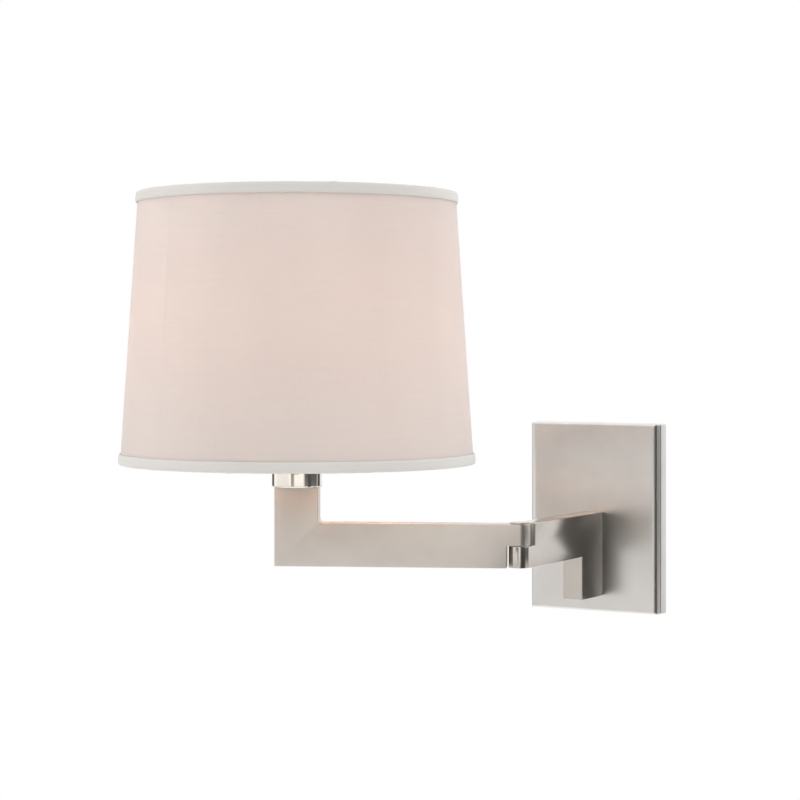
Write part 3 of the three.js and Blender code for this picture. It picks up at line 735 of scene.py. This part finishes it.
def finial():
    """The turned knob that holds the shade, and its washer."""
    base = 245.6
    side = [(3.4, base + 8.5), (3.4, base), (7.6, base), (7.6, base + 1.9), (4.3, base + 3.5)]
    side += [(3.9, base + 5), (5.6, base + 7), (6.6, base + 10), (5.4, base + 13)]
    side += [(2.6, base + 15), (0, base + 15.4)]
    bm = turned(rounded(in_mm([(0, base + 8.5), *side]), 1.4 * mm, steps=6), 72)
    piece("finial_turned", bm, turned_nickel, "arm_side", ["finial"], head_place)
    washer = [(3.5, 244.1), (9, 244.1), (9, 245.3), (3.5, 245.3)]
    bm = turned_ring(in_mm(washer), 0.35 * mm, 64)
    piece("finial_washer_disc", bm, turned_nickel, "arm_side", ["finial_washer"], head_place)


def switch_knob():
    """A fluted knob on the rotary switch's stem."""
    skirt = [(0, 36.4), (1.8, 36.4), (1.8, 23), (6.6, 23), (6.6, 25.6), (5.6, 26.4)]
    grip = [(5.2, 26.2), (5.5, 27), (5.5, 36.6), (4.9, 37.4), (0, 37.5)]
    bm = turned(in_mm(skirt), 96)
    turned(in_mm(grip), 96, flute=0.035, flutes=16, bm=bm)
    place = head_place @ Matrix.Translation((0, 0, 80 * mm)) @ Matrix.Rotation(-math.pi / 2, 4, "X")
    piece("switch_knob_fluted", bm, phenolic, "knob", ["switch_knob"], place)


swing_arm()
top_cap()
socket_collar()
harp_loop()
harp_sleeves()
lampholder()
bulb()
finial()
switch_knob()


# Shade

def corner_distance(node, z, pick):
    """Distance from the shade's axis of the node's corners at a height."""
    corners = [v.co for v in nodes[node].data.vertices if abs(v.co.z - z) < 0.4 * mm]
    return pick((Vector((c.x, c.y)) - Vector((head.x, head.y))).length for c in corners)


cover_low, cover_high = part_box("shade_cover")
cover_bottom_radius = corner_distance("shade_cover", cover_low.z, max)
cover_top_radius = corner_distance("shade_cover", cover_high.z, max)
liner_bottom_radius = corner_distance("shade_liner", cover_low.z, max)
liner_top_radius = corner_distance("shade_liner", cover_high.z, max)


def cover_radius(z):
    share = (z - cover_low.z) / (cover_high.z - cover_low.z)
    return cover_bottom_radius + (cover_top_radius - cover_bottom_radius) * share


def silk_wobble(turn, z):
    """The cloth's faint waviness on its liner, mostly in upright bands."""
    across = Vector((math.cos(turn) * 3.1, math.sin(turn) * 3.1, z * 1.5))
    fine = Vector((math.cos(turn) * 14, math.sin(turn) * 14, z * 9))
    return (0.16 * noise.noise(across) + 0.05 * noise.noise(fine)) * mm


def tape_wobble(turn, z):
    """Small puckers along the folded tape, with one fold and one kink."""
    ripple = Vector((math.cos(turn) * 17, math.sin(turn) * 17, z * 40))
    broad = Vector((math.cos(turn) * 5, math.sin(turn) * 5, 7.0))
    crease = bottom_fold_turn if z < (cover_low.z + cover_high.z) / 2 else top_kink_turn
    apart = math.remainder(turn - crease, 2 * math.pi)
    fold = math.exp(-((apart / 0.012) ** 2))
    return (0.14 * noise.noise(ripple) + 0.12 * noise.noise(broad) + 0.22 * fold) * mm


def skin_line(bottom_radius, top_radius, depth, rows=40):
    """A straight slant from the shade's lower edge to its upper one."""
    line = []
    for k in range(rows + 1):
        share = k / rows
        radius = bottom_radius + (top_radius - bottom_radius) * share - depth
        line.append((radius, cover_low.z + (cover_high.z - cover_low.z) * share))
    return line


def tape_line(edge_z, inward):
    """The folded tape's section over one edge of the shade, from outside, over the edge, to inside."""
    stand, height, reach = 1.5, 7.6, 5.2
    shape = [(0.35, height), (0.95, height - 0.25), (1.3, height - 1.3), (1.42, height * 0.55), (1.3, 1.7)]
    shape += [(0.75, 0.55), (-0.4, 0.3), (-reach + 1.6, 0.32), (-reach + 0.7, 0.75), (-reach + 0.35, 2)]
    shape += [(-reach + 0.3, height * 0.6), (-reach + 0.4, height)]
    line = []
    for out, depth in rounded(shape, 1.5, steps=3):
        z = edge_z + inward * depth * mm
        line.append((cover_radius(z) + min(out, stand) * mm, z))
    return line if inward < 0 else line[::-1]


def shade_cloth():
    """Cover, liner and the two folded tapes, each wound round the shade's axis.
    """
    half = cloth_thickness / 2
    line = skin_line(cover_bottom_radius, cover_top_radius, half)
    bm = wrapped(line, cover_seam_turn, cover_lap, cover_lift, cloth_thickness, 480, wobble=silk_wobble)
    cover = piece("shade_cover_silk", bm, silk, "arm_side",
                  ["shade_cover"], shade_place, sharp=60)
    line = skin_line(liner_bottom_radius, liner_top_radius, half)
    bm = wrapped(line, liner_seam_turn, 0, 0, cloth_thickness, 240)
    backing = piece("shade_liner_sheet", bm, liner, "arm_side",
                    ["shade_liner"], shade_place, sharp=60)
    edges = (("top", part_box("shade_trim_top")[1].z, -1, top_seam_turn),
             ("bottom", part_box("shade_trim_bottom")[0].z, 1, bottom_seam_turn))
    for place, edge_z, inward, seam in edges:
        line = tape_line(edge_z, inward)
        bm = wrapped(line, seam, tape_lap, tape_lift, cloth_thickness, 520, slant=1.0, wobble=tape_wobble)
        name = "shade_trim_" + place
        trim = piece(name + "_tape", bm, tape, "arm_side", [name], shade_place, sharp=70)


def shade_wires():
    """The spider with its hub and upper ring, and the plain lower ring."""
    low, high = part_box("top_fitter")
    wire = 1.2 * mm
    ring_z = high.z - wire
    ring = corner_distance("top_fitter", ring_z, max) - wire
    bm = swept(circle(ring, ring_z), wire, 12, closed=True)
    hub = [(3.5, 0), (11, 0), (11, 3.2), (3.5, 3.2)]
    turned_ring([(r * mm, low.z + z * mm) for r, z in hub], 0.6 * mm, 64, bm=bm)
    middle = low.z + 1.6 * mm
    for k in range(3):
        turn = arm_turn + (k + 0.25) / 3 * 2 * math.pi
        side = [(7 * mm, middle), (ring - 40 * mm, middle), (ring - 22 * mm, middle + 1.5 * mm)]
        side += [(ring - 8 * mm, ring_z - 2 * mm), (ring, ring_z)]
        path = [(r * math.cos(turn), r * math.sin(turn), z) for r, z in side]
        swept(curve_through(path, 6), 1.5 * mm, 12, bm=bm)
    piece("top_fitter_spider", bm, zinc, "arm_side", ["top_fitter"], shade_place)
    low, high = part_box("bottom_ring")
    ring, ring_z = (high.x - low.x) / 2 - wire, (low.z + high.z) / 2
    bm = swept(circle(ring, ring_z), wire, 12, closed=True)
    piece("bottom_ring_wire", bm, zinc, "arm_side", ["bottom_ring"], shade_place)


shade_cloth()
shade_wires()


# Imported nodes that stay, with better materials

kept = {
    phenolic: ["shadow_spacer", "socket_body"],
    zinc: ["mounting_strap", "set_screw_top", "set_screw_bottom", "bracket_screw_upper",
           "bracket_screw_lower", "bracket_washer_upper", "bracket_washer_lower", "pivot_tube",
           "pivot_nut_bottom", "pivot_nut_top", "riser_nipple", "collar_nut", "saddle_nut", "harp_saddle"],
    green_zinc: ["ground_screw"],
    nylon: ["wire_bushing", "pivot_washer"],
    wire_cloth: ["wire_wall", "wire_arm"],
    paperboard: ["socket_insulator"],
    brass: ["screw_shell", "centre_contact", "switch_stem", "bulb_contact"],
}
for material, names in kept.items():
    for name in names:
        part_slot = nodes[name].material_slots[0]
        part_slot.link = "OBJECT"
        part_slot.material = material


# Studio

def studio_world():
    """White to the camera. To the metal it is a room: bright left, dark gaps, bright above and below."""
    world = bpy.data.worlds.new("studio")
    world.use_nodes = True
    bpy.context.scene.world = world
    room = Nodes(world.node_tree)
    room.tree.nodes.clear()
    direction = room.node("ShaderNodeTexCoord").outputs["Generated"]
    split = room.node("ShaderNodeSeparateXYZ", {0: direction}).outputs
    toward = room.calculated("MULTIPLY", split["Y"], -1)
    azimuth = room.calculated("ARCTAN2", split["X"], toward)
    stops = [((angle + 180) / 360, tone) for angle, tone in room_tones]
    colour = room.ramp(room.span(azimuth, 0, 1, -math.pi, math.pi), *stops)
    for tone, start, end in ((ceiling_tone, 0.08, 0.3), (floor_tone, -0.08, -0.3)):
        far = room.span(split["Z"], 0, 1, start, end, interpolation_type="SMOOTHSTEP")
        colour = room.mixed(far, colour, (*tone, 1))
    lit = room.node("ShaderNodeBackground", {"Color": colour, "Strength": room_strength})
    plain = room.node("ShaderNodeBackground", {"Color": (1, 1, 1, 1)})
    camera_ray = room.node("ShaderNodeLightPath").outputs["Is Camera Ray"]
    choice = room.node("ShaderNodeMixShader", {"Fac": camera_ray, 1: lit.outputs[0], 2: plain.outputs[0]})
    room.node("ShaderNodeOutputWorld", {"Surface": choice.outputs[0]})


def soft_box(name, azimuth, height, size, power):
    """A rectangular light aimed at the shade, which metal doesn't mirror.

    Azimuth 0 is the room's side and 90 is the right.
    """
    turn = math.radians(azimuth)
    aim = Vector((head.x, head.y, (cover_low.z + cover_high.z) / 2))
    place = aim + Vector((light_distance * math.sin(turn), -light_distance * math.cos(turn), height))
    light = bpy.data.lights.new(name, "AREA")
    light.shape = "RECTANGLE"
    light.size, light.size_y = size
    light.energy = power
    made = linked(name, light)
    made.location = place
    made.rotation_euler = (aim - place).to_track_quat("-Z", "Y").to_euler()
    made.visible_camera = False
    made.visible_glossy = False


def black_card(name, middle, width, height, facing):
    """A black card that the camera doesn't see. Polished and satin metal show it as a dark edge."""
    bm = bmesh.new()
    bmesh.ops.create_grid(bm, x_segments=1, y_segments=1, size=0.5)
    mesh = mesh_from(name, bm)
    upright = Matrix.Rotation(facing, 4, "Z") @ Matrix.Rotation(math.pi / 2, 4, "X")
    mesh.transform(Matrix.Translation(middle) @ upright @ Matrix.Diagonal((width, height, 1, 1)))
    made = linked(name, mesh)
    made.visible_camera = False
    made.visible_diffuse = False
    made.visible_shadow = False
    mesh.materials.append(phenolic)


def floor():
    """A pale floor well below the lamp."""
    bm = bmesh.new()
    bmesh.ops.create_circle(bm, cap_ends=True, segments=96, radius=floor_radius)
    made = linked("floor", mesh_from("floor", bm))
    made.location = (0, 0, -floor_drop)
    paint = Paint("pale_floor")
    tones = paint.ramp(paint.noise((2, 2, 2)), (0.3, (0.86, 0.86, 0.86)), (0.7, (0.9, 0.9, 0.9)))
    paint.feed("Base Color", tones)
    paint.set(Roughness=0.8)
    made.data.materials.append(paint.material)


room_tones = [
    (-180, (0.9, 0.9, 0.9)),
    (-150, (0.8, 0.8, 0.8)),
    (-135, (0.1, 0.1, 0.1)),
    (-105, (0.1, 0.1, 0.1)),
    (-95, (1.0, 1.0, 1.0)),
    (-70, (0.84, 0.83, 0.82)),
    (-15, (0.84, 0.83, 0.82)),
    (0, (1.0, 0.98, 0.96)),
    (5, (0.3, 0.29, 0.28)),
    (13, (0.3, 0.29, 0.28)),
    (20, (1.05, 1.0, 0.95)),
    (58, (1.0, 0.96, 0.91)),
    (68, (0.12, 0.12, 0.12)),
    (128, (0.1, 0.1, 0.1)),
    (142, (0.8, 0.8, 0.8)),
    (180, (0.9, 0.9, 0.9)),
]
ceiling_tone = (1.0, 1.0, 1.0)
floor_tone = (0.62, 0.61, 0.6)
room_strength = 1.2
light_distance = 2.6
floor_radius, floor_drop = 3.0, 1.4
studio_world()
floor()
soft_box("left_box", -76, 0.2, (0.5, 1.4), 13)
soft_box("right_fill", 105, 0.3, (1.0, 1.4), 4)
soft_box("wall_side_fill", 150, 0.3, (1.0, 1.4), 20)
# At the arm's upper limit the shade stands across this card
black_card("right_card", (0.17, -0.2, -0.02), 0.22, 0.9, math.radians(27))
collar_card_turn = math.radians(22)
collar_card = head + 0.35 * Vector((math.sin(collar_card_turn), -math.cos(collar_card_turn), 0))
collar_card.z = (collar_low.z + collar_high.z) / 2
black_card("collar_card", collar_card, 0.25, 0.05, collar_card_turn)

camera = bpy.data.cameras.new("camera")
camera.lens = 95.517
camera.sensor_width = 36
camera.shift_y = -0.06805
camera.clip_start = 0.05
viewer = linked("camera", camera)
viewer.location = (0.675272, -1.525146, 0.133013)
viewer.rotation_euler = (math.pi / 2, 0, math.radians(29.306))
bpy.context.scene.camera = viewer
bpy.context.scene.view_settings.view_transform = "Standard"
